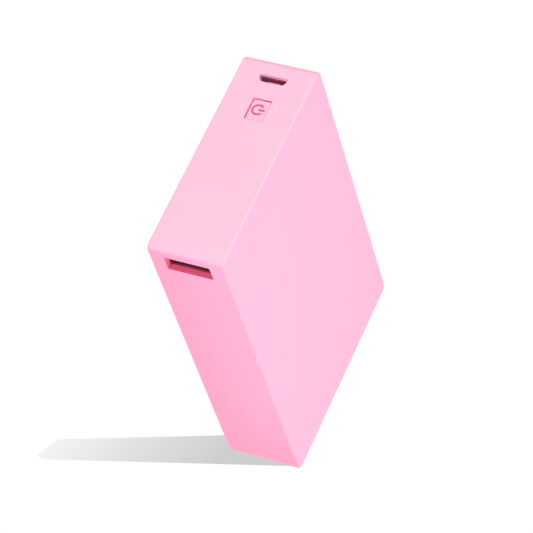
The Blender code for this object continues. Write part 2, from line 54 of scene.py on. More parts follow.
# Places that the frame gives
CASE_LOW, CASE_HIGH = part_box("main_shell")
CASE_SIZE = CASE_HIGH - CASE_LOW
CASE_CENTRE = (CASE_LOW + CASE_HIGH) / 2
USB_A_LOW, USB_A_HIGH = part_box("usb_a_shell")
USB_A_BLOCK_LOW, USB_A_BLOCK_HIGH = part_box("usb_a_insulator")
MICRO_LOW, MICRO_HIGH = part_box("micro_usb_shell")
MICRO_TONGUE_LOW, MICRO_TONGUE_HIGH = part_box("micro_usb_tongue")
BUTTON_LOW, BUTTON_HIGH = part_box("power_button")
BOARD_LOW, BOARD_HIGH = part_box("main_board")
MIDDLE_Z = CASE_CENTRE.z

# The case. Its sizes are the CAD's, but the inlet's window is a little larger and has its six sides.
WALL = 1.8 * MM
CORNER_RADIUS = 2.0 * MM
RIM_RADIUS = 0.6 * MM
INNER_CORNER_RADIUS = 0.9 * MM
LIP = 0.9 * MM
SEAM = 0.15 * MM
COVER_THICKNESS = 1.6 * MM
USB_A_WINDOW = (5.3 * MM, 13.4 * MM)
MICRO_WINDOW = (2.35 * MM, 8.3 * MM)
MICRO_NARROWING = 0.76
WINDOW_CORNER = 0.3 * MM
MICRO_WINDOW_CORNER = 0.65 * MM
BUTTON_HOLE = (7.1 * MM, 5.6 * MM)
BUTTON_CAP = (6.7 * MM, 5.2 * MM)

# Inside the case: the board's rails and ribs, the slots for the cover's hooks, and the room behind the inlet.
# OVERLAP is how far a rib is sunk into a wall, and how far outside a wall a cutter starts.
BOARD_GAP = 0.3 * MM
RAIL_DEPTH = 1.4 * MM
RAIL_THICKNESS = 1.3 * MM
RAIL_START_Z = 6.0 * MM
STOP_RIB = (4.0 * MM, 1.5 * MM)
STOP_RIBS_X = (-11.0 * MM, 11.0 * MM)
HOOK_SLOT = (6.6 * MM, 1.8 * MM)
HOOK_SLOT_DEPTH = 0.95 * MM
HOOK_SLOT_Z = 5.8 * MM
SIDE_HOOKS_Y = (-30.0 * MM, 16.0 * MM)
MICRO_RELIEF = (3.0 * MM, 8.1 * MM)
MICRO_LIP = 0.95 * MM
OVERLAP = 0.4 * MM

# Roundings, as (radius, segments)
CORNER_ROUND = (CORNER_RADIUS, 14)
RIM_ROUND = (RIM_RADIUS, 7)
INNER_CORNER_ROUND = (INNER_CORNER_RADIUS, 6)
REBATE_CORNER_ROUND = (CORNER_RADIUS - LIP, 7)
INNER_EDGE_ROUND = (0.2 * MM, 3)

# The camera, round the middle of the bank, with its roll taken from the floor's normal
CAMERA_AZIMUTH = math.radians(-150.28)
CAMERA_ELEVATION = math.radians(22.24)
CAMERA_DISTANCE = 809.2 * MM
CAMERA_ROLL = math.radians(2.40)
CAMERA_AIM = Vector((-0.39, 0.63, 9.43)) * MM
CAMERA_LENS_MM = 195.7
CAMERA_SENSOR_MM = 36.0
CAMERA_NEAREST = 10 * MM

# The stage: which way is up while the bank stands on its corner edge, and where that edge meets the floor
UP = Vector((CASE_SIZE.x, CASE_SIZE.y, 0)).normalized()
ACROSS = Vector((-UP.y, UP.x, 0))
EDGE_CENTRE = Vector((CASE_LOW.x + CORNER_RADIUS, CASE_LOW.y + CORNER_RADIUS, 0))
FLOOR_POINT = EDGE_CENTRE - UP * CORNER_RADIUS
FLOOR_SIZE = 1.2
FLOOR_LIGHT = 1.10
WORLD_LIGHT = 0.10

# The shadow's outline on the floor, as (across, Z) from the corner edge, and its greys from the bank outwards
SHADOW_OUTLINE = [
    (across * MM, z * MM)
    for across, z in ((-0.5, 22.2), (32.6, -44.0), (31.9, -46.8), (20.3, -46.0), (-5.9, -5.0), (-11.3, 3.4))
]
SHADOW_FADE_START = 0.0
SHADOW_FADE_END = 46.0 * MM
SHADOW_GREYS = [(0.0, 0.62), (0.5, 0.745), (1.0, 0.90)]
SHADOW_TINT = (0.985, 1.0, 1.01)
SHADOW_LIFT = 0.1 * MM


# ---------------------------------------------------------------- node trees

class Nodes:
    """A material's node tree, with short ways to add and join nodes."""

    def __init__(self, name):
        self.material = bpy.data.materials.new(name)
        self.material.use_nodes = True
        self.tree = self.material.node_tree
        self.shader = self.tree.nodes["Principled BSDF"]
        self.output = self.tree.nodes["Material Output"]

    def add(self, kind, inputs=None, **settings):
        node = self.tree.nodes.new("ShaderNode" + kind)
        for key, value in settings.items():
            setattr(node, key, value)
        for key, value in (inputs or {}).items():
            node.inputs[key].default_value = value
        return node

    def link(self, source, target):
        self.tree.links.new(source, target)

    def set(self, **values):
        """Constants on the shader's own sockets, named with underscores for spaces."""
        for key, value in values.items():
            self.shader.inputs[key.replace("_", " ")].default_value = value

    def place(self):
        """Object coordinates, which are the row frame's for every piece that sits at the origin."""
        return self.add("TexCoord").outputs["Object"]

    def noise(self, scale, detail=3.0, roughness=0.5):
        node = self.add("TexNoise", {"Scale": scale, "Detail": detail, "Roughness": roughness})
        self.link(self.place(), node.inputs["Vector"])
        return node.outputs["Fac"]

    def streaks(self, scale, stretch):
        """Noise drawn out along the axes whose stretch is small."""
        mapping = self.add("Mapping", {"Scale": stretch})
        self.link(self.place(), mapping.inputs["Vector"])
        node = self.add("TexNoise", {"Scale": scale, "Detail": 4.0})
        self.link(mapping.outputs["Vector"], node.inputs["Vector"])
        return node.outputs["Fac"]

    def cells(self, scale):
        """Round cells: the distance to the nearest cell's middle."""
        node = self.add("TexVoronoi", {"Scale": scale}, feature="F1")
        self.link(self.place(), node.inputs["Vector"])
        return node.outputs["Distance"]

    def between(self, source, stops):
        """A ramp over source, from (position, colour or grey) stops."""
        ramp = self.add("ValToRGB")
        elements = ramp.color_ramp.elements
        while len(elements) < len(stops):
            elements.new(0.5)
        for element, (position, colour) in zip(elements, stops):
            element.position = position
            element.color = (*colour, 1.0) if hasattr(colour, "__len__") else (colour, colour, colour, 1.0)
        self.link(source, ramp.inputs["Fac"])
        return ramp.outputs["Color"]

    def vary(self, socket, source, stops):
        """Gives one of the shader's sockets a ramp over source."""
        self.link(self.between(source, stops), self.shader.inputs[socket])

    def bump(self, height, distance, strength=1.0, normal=None):
        node = self.add("Bump", {"Strength": strength, "Distance": distance})
        self.link(height, node.inputs["Height"])
        if normal:
            self.link(normal, node.inputs["Normal"])
        self.link(node.outputs["Normal"], self.shader.inputs["Normal"])
        return node.outputs["Normal"]


def tinted(colour, factor):
    return tuple(channel * factor for channel in colour)


def around(value, spread):
    """Ramp stops for a value that varies by spread to either side."""
    return [(0.3, value - spread), (0.7, value + spread)]


# The case plastic's own colour, then painted shade colours on the walls inside the outlet's window and round
# the small windows
PINK = (0.98, 0.285, 0.445)
RECESS_SHADE_PINK = (0.92, 0.155, 0.31)
GAP_SHADE_PINK = (0.96, 0.42, 0.78)

# Painted glow: emission on the walls round the outlet's window, and round the small ones, in place of light
# through the plastic
RECESS_PAINTED_GLOW = (0.13, 0.013, 0.039)
GAP_PAINTED_GLOW = (0.062, 0.016, 0.044)

CASE_ROUGHNESS = 0.43
CASE_GLOSS = 0.2
KEY_ROUGHNESS = 0.24
KEY_GLOSS = 0.5
GRAIN_DEPTH = 0.012 * MM


def case_plastic(name, colour, glow=None, roughness=CASE_ROUGHNESS, gloss=CASE_GLOSS):
    """Satin moulded plastic: a fine spark-eroded grain, a little flow variation in colour and gloss.

    glow is a painted glow: emission on the walls round a window, in place of light through the thin plastic.
    """
    n = Nodes(name)
    n.set(Specular_IOR_Level=gloss)
    # painted glow: an emission on a window's walls that stands in for light
    if glow:
        n.set(Emission_Color=(*glow, 1.0), Emission_Strength=1.0)
    flow = n.noise(scale=60.0, detail=2.0)
    n.vary("Base Color", flow, [(0.35, tinted(colour, 0.985)), (0.65, colour)])
    n.vary("Roughness", flow, around(roughness, 0.03))
    n.bump(n.noise(scale=5200.0, detail=4.0, roughness=0.6), GRAIN_DEPTH, strength=0.5)
    return n.material


def plated_metal(name, colour, roughness=0.32):
    """Plated sheet metal, a little smeared by handling."""
    n = Nodes(name)
    n.set(Metallic=1.0)
    smear = n.noise(scale=700.0, detail=4.0, roughness=0.6)
    n.vary("Base Color", smear, [(0.3, tinted(colour, 0.85)), (0.7, colour)])
    n.vary("Roughness", smear, [(0.2, roughness - 0.05), (0.8, roughness + 0.1)])
    n.bump(n.noise(scale=3000.0), 0.004 * MM, strength=0.4)
    return n.material


def moulded(name, colour, roughness, grain_scale=4000.0, grain_depth=0.01 * MM, variation=0.15):
    """Moulded or printed plastic with a cloudy colour and a fine grain."""
    n = Nodes(name)
    cloud = n.noise(scale=400.0)
    n.vary("Base Color", cloud, [(0.3, tinted(colour, 1 - variation)), (0.7, colour)])
    n.vary("Roughness", cloud, around(roughness, 0.05))
    n.bump(n.noise(grain_scale), grain_depth, strength=0.5)
    return n.material


COPPER_EDGE = (0.42, 0.47)
MASK_OVER_COPPER = (0.018, 0.17, 0.06)
MASK_OVER_GLASS = (0.008, 0.085, 0.032)
WEAVE_SCALE = 260.0


def solder_mask(name):
    """Green mask over glass weave, darker where there is no copper under it."""
    n = Nodes(name)
    n.set(Coat_Weight=0.4, Coat_Roughness=0.12)
    copper = n.cells(190.0)
    n.vary("Base Color", copper, list(zip(COPPER_EDGE, (MASK_OVER_COPPER, MASK_OVER_GLASS))))
    n.vary("Roughness", copper, list(zip(COPPER_EDGE, (0.28, 0.36))))
    weave = n.add("Math", operation="ADD")
    for slot, direction in enumerate(("Y", "Z")):
        threads = n.add("TexWave", {"Scale": WEAVE_SCALE}, bands_direction=direction)
        n.link(n.place(), threads.inputs["Vector"])
        n.link(threads.outputs["Fac"], weave.inputs[slot])
    n.bump(weave.outputs["Value"], 0.01 * MM, strength=0.4)
    return n.material


def brushed_metal(name, colour, roughness, stretch):
    """Drawn or rolled metal: fine streaks along the axis whose stretch is small."""
    n = Nodes(name)
    n.set(Metallic=1.0)
    lines = n.streaks(2500.0, stretch)
    n.vary("Base Color", lines, [(0.3, tinted(colour, 0.8)), (0.7, colour)])
    n.vary("Roughness", lines, [(0.3, roughness - 0.06), (0.7, roughness + 0.08)])
    n.bump(lines, 0.006 * MM, strength=0.5)
    return n.material


def pouch_foil(name, colour):
    """Aluminium laminate: soft puckers, and a faint haze over the foil."""
    n = Nodes(name)
    n.set(Metallic=0.9)
    haze = n.noise(scale=90.0, detail=4.0)
    n.vary("Base Color", haze, [(0.3, tuple(channel - 0.12 for channel in colour)), (0.7, colour)])
    n.vary("Roughness", haze, around(0.37, 0.07))
    puckers = n.bump(n.noise(scale=140.0, detail=2.0), 0.25 * MM, strength=0.5)
    n.bump(n.noise(scale=2600.0), 0.01 * MM, strength=0.4, normal=puckers)
    return n.material


def closed_cell_foam(name, colour):
    """Soft sheet foam: small round cells with thin walls."""
    n = Nodes(name)
    n.set(Sheen_Weight=0.2)
    cells = n.cells(1400.0)
    # painted shade: each cell is darker towards its middle, where the bump sinks it into a pit
    n.vary("Base Color", cells, [(0.1, tinted(colour, 0.55)), (0.6, colour)])
    n.vary("Roughness", cells, [(0.1, 0.95), (0.6, 0.82)])
    n.bump(cells, 0.15 * MM, strength=0.6)
    return n.material


def paper_tape(name, colour):
    """Double-sided tape: matted fibres under adhesive."""
    n = Nodes(name)
    fibres = n.streaks(900.0, (1.0, 0.15, 1.0))
    n.vary("Base Color", fibres, [(0.3, (0.70, 0.70, 0.66)), (0.7, colour)])
    n.vary("Roughness", fibres, around(0.55, 0.1))
    n.bump(fibres, 0.02 * MM, strength=0.5)
    return n.material


def silicone(name, colour):
    """A lead's soft insulation, faintly dusty."""
    n = Nodes(name)
    dust = n.noise(scale=1500.0, detail=4.0, roughness=0.65)
    n.vary("Base Color", dust, [(0.45, colour), (0.8, tinted(colour, 1.5))])
    n.vary("Roughness", dust, [(0.4, 0.42), (0.7, 0.6)])
    n.bump(dust, 0.01 * MM, strength=0.5)
    return n.material


# ---------------------------------------------------------------- mesh helpers

def mesh_object(name, bm, material=None):
    mesh = bpy.data.meshes.new(name)
    bmesh.ops.recalc_face_normals(bm, faces=bm.faces)
    bm.to_mesh(mesh)
    bm.free()
    obj = bpy.data.objects.new(name, mesh)
    bpy.context.scene.collection.objects.link(obj)
    if material:
        mesh.materials.append(material)
    return obj


ARC_STEPS = 6


def rounded_polygon(corners, radius):
    """A convex polygon, counter-clockwise, with every corner turned into an arc."""
    points = []
    count = len(corners)
    for i, corner in enumerate(corners):
        before = (corners[i - 1] - corner).normalized()
        after = (corners[(i + 1) % count] - corner).normalized()
        half = before.angle(after) / 2
        centre = corner + (before + after).normalized() * radius / math.sin(half)
        start = corner + before * radius / math.tan(half) - centre
        turn = math.pi - 2 * half
        for step in range(ARC_STEPS + 1):
            angle = turn * step / ARC_STEPS
            c, s = math.cos(angle), math.sin(angle)
            points.append(centre + Vector((start.x * c - start.y * s, start.x * s + start.y * c)))
    return points


def grown(corners, amount):
    """The polygon with every side moved out by amount."""
    count = len(corners)
    moved = []
    for i, corner in enumerate(corners):
        one = (corner - corners[i - 1]).normalized()
        two = (corners[(i + 1) % count] - corner).normalized()
        out_one, out_two = Vector((one.y, -one.x)), Vector((two.y, -two.x))
        moved.append(corner + (out_one + out_two) * amount / (1 + out_one.dot(out_two)))
    return moved


def four_sided(width, height):
    """Corners of a rectangle."""
    u, v = width / 2, height / 2
    return [Vector(p) for p in ((-u, -v), (u, -v), (u, v), (-u, v))]


def six_sided(width, height, narrowing):
    """A micro-USB outline: the two corners on its -u side are cut off, down to a shorter side there."""
    u, v = width / 2, height / 2
    return [Vector(p) for p in ((-u, -v * narrowing), (0, -v), (u, -v), (u, v), (0, v), (-u, v * narrowing))]


def loft(bm, rings):
    """Skins rings with equally many points into one closed surface, capped at its first and last ring."""
    loops = [[bm.verts.new(point) for point in ring] for ring in rings]
    for one, two in zip(loops, loops[1:]):
        count = len(one)
        for i in range(count):
            j = (i + 1) % count
            bm.faces.new((one[i], one[j], two[j], two[i]))
    bm.faces.new(loops[0])
    bm.faces.new(loops[-1])


class Bore:
    """A direction into a wall: maps an outline's (u, v) and a depth under the surface to a point."""

    def __init__(self, centre, inward, u, v):
        self.centre, self.inward, self.u, self.v = Vector(centre), Vector(inward), Vector(u), Vector(v)

    def ring(self, outline, depth):
        return [self.centre + self.u * p.x + self.v * p.y + self.inward * depth for p in outline]


def profile_rings(bore, corners, radius, profile):
    """Rings for loft(): profile lists (depth, how far the outline is grown)."""
    return [
        bore.ring(rounded_polygon(grown(corners, amount), radius + amount), depth)
        for depth, amount in profile
    ]


MOUTH_STEPS = 4


def rounded_mouth(radius):
    """A profile that rounds a hole's mouth: wider by radius at the surface, and not at all at that depth."""
    angles = [math.pi / 2 * step / MOUTH_STEPS for step in range(MOUTH_STEPS + 1)]
    return [(radius * math.sin(angle), radius * (1 - math.cos(angle))) for angle in angles]


TOUCHING = 0.0001 * MM


def rounded_block(low, high, axis, side, rim=(0, 1)):
    """A block as a bmesh. side and rim round its edges along axis, and round its ends: (radius, segments)."""
    bm = bmesh.new()
    bmesh.ops.create_cube(bm, size=1.0)
    size, centre = high - low, (low + high) / 2
    bmesh.ops.scale(bm, vec=size, verts=bm.verts)

    def bevel(edges, radius, segments):
        bmesh.ops.bevel(
            bm, geom=edges, offset=radius, offset_type="OFFSET", segments=segments, profile=0.5,
            affect="EDGES",
        )

    def ends_along(edge):
        return [vert.co[axis] for vert in edge.verts]

    def round_an_end(edge):
        one, two = ends_along(edge)
        return one * two > 0 and all(abs(abs(end) - size[axis] / 2) < TOUCHING for end in (one, two))

    if side[0]:
        bevel([e for e in bm.edges if abs(ends_along(e)[0] - ends_along(e)[1]) > 0.5 * size[axis]], *side)
    if rim[0]:
        bevel([e for e in bm.edges if round_an_end(e)], *rim)
    bmesh.ops.translate(bm, vec=centre, verts=bm.verts)
    return bm


def boolean(target, bm, operation="DIFFERENCE"):
    tool = mesh_object(target.name + "_tool", bm)
    modifier = target.modifiers.new("boolean", "BOOLEAN")
    modifier.operation = operation
    modifier.solver = "EXACT"
    modifier.object = tool
    apply_modifiers(target)
    bpy.data.objects.remove(tool)


def apply_modifiers(obj):
    graph = bpy.context.evaluated_depsgraph_get()
    mesh = bpy.data.meshes.new_from_object(obj.evaluated_get(graph))
    old = obj.data
    obj.modifiers.clear()
    obj.data = mesh
    bpy.data.meshes.remove(old)


def smooth(obj, angle=40):
    """Smooth shading with creases over the angle, and normals weighted so that flat faces stay flat."""
    obj.data.shade_smooth()
    obj.data.set_sharp_from_angle(angle=math.radians(angle))
    modifier = obj.modifiers.new("weighted_normals", "WEIGHTED_NORMAL")
    modifier.mode = "FACE_AREA"
    modifier.weight = 100
    modifier.keep_sharp = True


def finish_piece(obj, body, slot, *nodes):
    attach(obj, body)
    if nodes:
        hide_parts(*nodes)


# ---------------------------------------------------------------- case

WINDOW_ROUND = 0.12 * MM

# How far a cutter starts outside the face that it cuts into, how far it goes on past a wall, and how far the
# case's own cutters start below it
CUT_START = 1 * MM
CUT_END = 1 * MM
BELOW = 5 * MM


def window_cut(bore, corners, radius):
    """A cutter through the wall, with a small rounded mouth."""
    bm = bmesh.new()
    profile = [(-CUT_START, WINDOW_ROUND)] + rounded_mouth(WINDOW_ROUND) + [(WALL + CUT_END, 0.0)]
    loft(bm, profile_rings(bore, corners, radius, profile))
    return bm


def usb_a_bore():
    """Into the outlet's side. Its middle in Y is the insulator's: the shell's box takes in the legs."""
    block_centre = (USB_A_BLOCK_LOW + USB_A_BLOCK_HIGH) / 2
    shell_centre = (USB_A_LOW + USB_A_HIGH) / 2
    return Bore((CASE_LOW.x, block_centre.y, shell_centre.z), (1, 0, 0), (0, 1, 0), (0, 0, 1))


def micro_bore():
    centre = (MICRO_LOW + MICRO_HIGH) / 2
    return Bore((centre.x, CASE_HIGH.y, MIDDLE_Z), (0, -1, 0), (1, 0, 0), (0, 0, 1))


def button_bore():
    centre = (BUTTON_LOW + BUTTON_HIGH) / 2
    return Bore((centre.x, CASE_HIGH.y, centre.z), (0, -1, 0), (1, 0, 0), (0, 0, 1))


def fit_out(shell):
    """Rails and ribs that hold the main board, slots for the cover's hooks, and the room behind the inlet."""
    inner = CASE_SIZE / 2 - Vector((WALL, WALL, 0))
    front = CASE_HIGH.z - WALL
    under_y = BOARD_LOW.y - BOARD_GAP - RAIL_THICKNESS / 2
    over_y = BOARD_HIGH.y + BOARD_GAP + RAIL_THICKNESS / 2

    def between(one, two):
        low = Vector(map(min, one, two))
        return rounded_block(low, Vector(map(max, one, two)), 2, INNER_EDGE_ROUND)

    for side, y in ((-1, under_y), (1, under_y), (1, over_y)):
        rail = between(
            (side * (inner.x + OVERLAP), y - RAIL_THICKNESS / 2, RAIL_START_Z),
            (side * (inner.x - RAIL_DEPTH), y + RAIL_THICKNESS / 2, front + OVERLAP),
        )
        boolean(shell, rail, "UNION")
    for x in STOP_RIBS_X:
        rib = between(
            (x - STOP_RIB[0] / 2, under_y - RAIL_THICKNESS / 2, front - STOP_RIB[1]),
            (x + STOP_RIB[0] / 2, under_y + RAIL_THICKNESS / 2, front + OVERLAP),
        )
        boolean(shell, rib, "UNION")
    hooks = [(0, side, y) for side in (-1, 1) for y in SIDE_HOOKS_Y]
    hooks += [(1, side, 0) for side in (-1, 1)]
    for axis, side, across in hooks:
        ends = []
        for depth, share in ((-OVERLAP, -0.5), (HOOK_SLOT_DEPTH, 0.5)):
            end = Vector((0, 0, HOOK_SLOT_Z + HOOK_SLOT[1] * share))
            end[axis] = side * (inner[axis] + depth)
            end[1 - axis] = across + HOOK_SLOT[0] * share
            ends.append(end)
        boolean(shell, between(*ends))
    centre = micro_bore().centre
    boolean(shell, between(
        (centre.x - MICRO_RELIEF[0] / 2, inner.y - OVERLAP, CASE_LOW.z - OVERLAP),
        (centre.x + MICRO_RELIEF[0] / 2, CASE_HIGH.y - MICRO_LIP, centre.z + MICRO_RELIEF[1] / 2),
    ))


def in_window(point, bore, size):
    """Whether the point lies on a window's walls, under its rounded mouth."""
    offset = point - bore.centre
    for direction, extent in zip((bore.u, bore.v), size):
        if abs(offset.dot(direction)) >= extent / 2 + WINDOW_ROUND:
            return False
    return WINDOW_ROUND / 2 < offset.dot(bore.inward) < WALL - WINDOW_ROUND / 2


def hollow_block():
    """The case as a rounded block, hollowed from behind, with a rebate for the back cover's edge."""
    shell = mesh_object("case_shell", rounded_block(CASE_LOW, CASE_HIGH, 2, CORNER_ROUND, RIM_ROUND))
    below = Vector((0, 0, BELOW))
    wall, front = Vector((WALL, WALL, 0)), Vector((0, 0, WALL))
    boolean(shell, rounded_block(CASE_LOW + wall - below, CASE_HIGH - wall - front, 2, INNER_CORNER_ROUND))
    lip = Vector((LIP, LIP, 0))
    rebate_top = Vector((CASE_HIGH.x, CASE_HIGH.y, COVER_THICKNESS + SEAM)) - lip
    boolean(shell, rounded_block(CASE_LOW + lip - below, rebate_top, 2, REBATE_CORNER_ROUND))
    return shell


def make_case(material, recess_shade, gap):
    """The case's shell, with painted shade colours and painted glow on the walls of its windows."""
    shell = hollow_block()
    fit_out(shell)
    windows = [
        (usb_a_bore(), USB_A_WINDOW, four_sided(*USB_A_WINDOW), WINDOW_CORNER, recess_shade),
        (micro_bore(), MICRO_WINDOW, six_sided(*MICRO_WINDOW, MICRO_NARROWING), MICRO_WINDOW_CORNER, gap),
        (button_bore(), BUTTON_HOLE, four_sided(*BUTTON_HOLE), WINDOW_CORNER, gap),
    ]
    for bore, _, outline, radius, _ in windows:
        boolean(shell, window_cut(bore, outline, radius))
    for each in (material, recess_shade, gap):
        shell.data.materials.append(each)
    # the window walls get the painted shade colours and painted glow
    for bore, size, _, _, painted_wall_material in windows:
        index = shell.data.materials.find(painted_wall_material.name)
        for polygon in shell.data.polygons:
            if in_window(polygon.center, bore, size):
                polygon.material_index = index
    smooth(shell)
    finish_piece(shell, "case", "case_plastic", "main_shell")


# ---------------------------------------------------------------- sheet metal

# A cup's mouth, going in: (depth in lips, share of the flare)
FLARE_PROFILE = ((0, 1.0), (0.5, 0.6), (2, 0.2), (5, 0.0))


def cup(bore, outer, outer_radius, inner, inner_radius, length, floor, lip, flare):
    """A drawn metal cup: outside, rolled lip, slightly flared mouth, inside and closed end."""
    outside = [(length, 0), (lip, 0), (lip / 3, -lip / 3), (0, -lip)]
    inside = [(depth * lip, share * flare) for depth, share in FLARE_PROFILE] + [(length - floor, 0)]
    outer_rings = profile_rings(bore, outer, outer_radius, outside)
    inner_rings = profile_rings(bore, inner, inner_radius, inside)
    bm = bmesh.new()
    loft(bm, outer_rings + inner_rings)
    return bm


def strip(bm, points, width_direction, width, thickness):
    """A flat strip of sheet metal that follows points, which lie in a plane across its width."""
    side = Vector(width_direction).normalized() * width / 2
    rings = []
    for i, point in enumerate(points):
        ahead = points[min(i + 1, len(points) - 1)] - points[max(i - 1, 0)]
        normal = ahead.cross(side).normalized() * thickness / 2
        under, over = point - normal, point + normal
        rings.append([under - side, under + side, over + side, over - side])
    loft(bm, rings)


def curved(points, steps):
    """Points along a smooth curve through the given ones, with steps to each stretch."""
    made = []
    count = len(points)
    for i in range(count - 1):
        p0, p1, p2, p3 = points[max(i - 1, 0)], points[i], points[i + 1], points[min(i + 2, count - 1)]
        for step in range(steps):
            t = step / steps
            made.append(0.5 * (2 * p1 + (p2 - p0) * t + (2 * p0 - 5 * p1 + 4 * p2 - p3) * t ** 2
                               + (3 * p1 - p0 - 3 * p2 + p3) * t ** 3))
    return made + [points[-1]]


# ---------------------------------------------------------------- USB-A outlet

SHEET = 0.3 * MM
OUTLET_CORNER = 0.6 * MM
OUTLET_INNER_CORNER = 0.3 * MM
OUTLET_LIP = 0.12 * MM
OUTLET_FLARE = 0.1 * MM

# The spring fingers: each lies in an opening in a wide wall, held at its far end and bowed inwards.
# FINGER_SHAPE holds (share of the length, share of the bow), from the held end.
FINGERS_Z = (-3.4 * MM, 3.4 * MM)
FINGER_ROOT = 7.5 * MM
FINGER_LENGTH = 4.6 * MM
FINGER_WIDTH = 2.0 * MM
FINGER_THICKNESS = 0.8 * SHEET
FINGER_HOLD = 0.3 * MM
FINGER_CLEARANCE = 0.2 * MM
FINGER_BOW = 0.45 * MM
FINGER_SHAPE = ((0, 0), (0.12, 0), (0.45, 0.45), (0.75, 1.0), (0.9, 0.95), (1.0, 0.55))
FINGER_STEPS = 4
OPENING_ROUND = (0.25 * MM, 3)

LEGS_X = (5.0 * MM, 11.0 * MM)
LEG_WIDTH = 1.6 * MM
LEG_END = 0.5 * MM


def outlet_mouth():
    """The outlet's bore from its shell's mouth, and half of the shell's width in Y."""
    bore = usb_a_bore()
    bore.centre.x = USB_A_LOW.x
    return bore, USB_A_HIGH.y - bore.centre.y


def finger_places():
    """For each finger: the side it is on, and the middle of its root in the wall's sheet."""
    bore, half_y = outlet_mouth()
    return [
        (side, bore.centre + Vector((FINGER_ROOT, side * (half_y - SHEET / 2), z)))
        for side in (-1, 1) for z in FINGERS_Z
    ]


def make_outlet_shell(material):
    """The folded shell with its flared mouth, and an opening in it round each finger."""
    bore, half_y = outlet_mouth()
    length, height = USB_A_HIGH.x - USB_A_LOW.x, USB_A_HIGH.z - USB_A_LOW.z
    outer = four_sided(2 * half_y, height)
    inner = four_sided(2 * (half_y - SHEET), height - 2 * SHEET)
    shell = mesh_object("outlet_shell", cup(
        bore, outer, OUTLET_CORNER, inner, OUTLET_INNER_CORNER, length, SHEET, OUTLET_LIP, OUTLET_FLARE,
    ))
    room = 2 * FINGER_CLEARANCE
    opening = Vector((FINGER_LENGTH + room, 4 * SHEET, FINGER_WIDTH + room)) / 2
    for _, root in finger_places():
        middle = root - Vector((FINGER_LENGTH / 2 + FINGER_CLEARANCE, 0, 0))
        boolean(shell, rounded_block(middle - opening, middle + opening, 1, OPENING_ROUND))
    shell.data.materials.append(material)
    smooth(shell, angle=30)
    finish_piece(shell, "case", "socket_metal", "usb_a_shell")


def make_outlet_fingers(material):
    """The four spring fingers that grip a plug."""
    bm = bmesh.new()
    length = FINGER_HOLD + FINGER_LENGTH - FINGER_CLEARANCE
    for side, root in finger_places():
        run = [
            root + Vector((FINGER_HOLD - share * length, -side * bow * FINGER_BOW, 0))
            for share, bow in FINGER_SHAPE
        ]
        strip(bm, curved(run, FINGER_STEPS), (0, 0, 1), FINGER_WIDTH, FINGER_THICKNESS)
    springs = mesh_object("outlet_fingers", bm, material)
    smooth(springs, angle=30)
    finish_piece(springs, "case", "socket_metal")


def make_outlet_legs(material):
    """The four soldering legs, from the shell's narrow walls down to the board."""
    bm = bmesh.new()
    bore, half_y = outlet_mouth()
    half_z = (USB_A_HIGH.z - USB_A_LOW.z) / 2
    heights = (bore.centre.y - half_y + LEG_END, USB_A_LOW.y + LEG_END, USB_A_LOW.y)
    for x in LEGS_X:
        for side in (-1, 1):
            z = bore.centre.z + side * (half_z - SHEET / 2)
            strip(bm, [Vector((USB_A_LOW.x + x, y, z)) for y in heights], (1, 0, 0), LEG_WIDTH, SHEET)
    legs = mesh_object("outlet_legs", bm, material)
    smooth(legs, angle=30)
    finish_piece(legs, "case", "socket_metal")


CONTACT_NAMES = [f"usb_a_contact_{number}" for number in range(1, 5)]
BLOCK_EDGE_ROUND = (0.2 * MM, 3)
BLOCK_RIM_ROUND = (0.15 * MM, 2)
BLOCK_GAP = 0.3 * MM
OUTLET_TONGUE = (1.84 * MM, 11.1 * MM)
OUTLET_TONGUE_EDGE_ROUND = (0.12 * MM, 2)
OUTLET_TONGUE_TIP_ROUND = (0.35 * MM, 3)
TONGUE_SUNK = 0.5 * MM
CONTACT_CLEARANCE = 0.15 * MM

# The groove behind each contact, and how far it starts before the contact and ends short of its root
GROOVE_WIDTH = 1.3 * MM
GROOVE_DEPTH = 0.3 * MM
GROOVE_START = 0.3 * MM
GROOVE_END = 0.4 * MM
GROOVE_ROUND = (0.1 * MM, 2)


def make_outlet_block(material):
    """The insulator: a block, and a tongue with a rounded tip and a groove behind each contact."""
    low, high = USB_A_BLOCK_LOW, USB_A_BLOCK_HIGH
    contact_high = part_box(CONTACT_NAMES[0])[1]
    block_x = contact_high.x + BLOCK_GAP
    block = rounded_block(Vector((block_x, low.y, low.z)), high, 0, BLOCK_EDGE_ROUND, BLOCK_RIM_ROUND)
    made = mesh_object("outlet_insulator", block)
    thickness, width = OUTLET_TONGUE
    tongue_low = Vector((low.x, contact_high.y + CONTACT_CLEARANCE, MIDDLE_Z - width / 2))
    tongue_high = Vector((block_x + TONGUE_SUNK, tongue_low.y + thickness, MIDDLE_Z + width / 2))
    tongue = rounded_block(tongue_low, tongue_high, 0, OUTLET_TONGUE_EDGE_ROUND, OUTLET_TONGUE_TIP_ROUND)
    boolean(made, tongue, "UNION")
    for name in CONTACT_NAMES:
        box_low, box_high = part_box(name)
        z = (box_low.z + box_high.z) / 2
        groove_low = Vector((box_low.x - GROOVE_START, tongue_low.y - CUT_START, z - GROOVE_WIDTH / 2))
        groove_high = Vector((box_high.x - GROOVE_END, tongue_low.y + GROOVE_DEPTH, z + GROOVE_WIDTH / 2))
        boolean(made, rounded_block(groove_low, groove_high, 1, GROOVE_ROUND))
    made.data.materials.append(material)
    smooth(made, angle=35)
    finish_piece(made, "case", "black_plastic", "usb_a_insulator")


# A contact from its root to its tip: (share of its length, how far it bows away from the tongue)
CONTACT_SHAPE = (
    (0, 0), (0.25, 0), (0.5, 0.12 * MM), (0.75, 0.42 * MM), (0.86, 0.42 * MM), (1.0, 0.05 * MM),
)
CONTACT_STEPS = 5


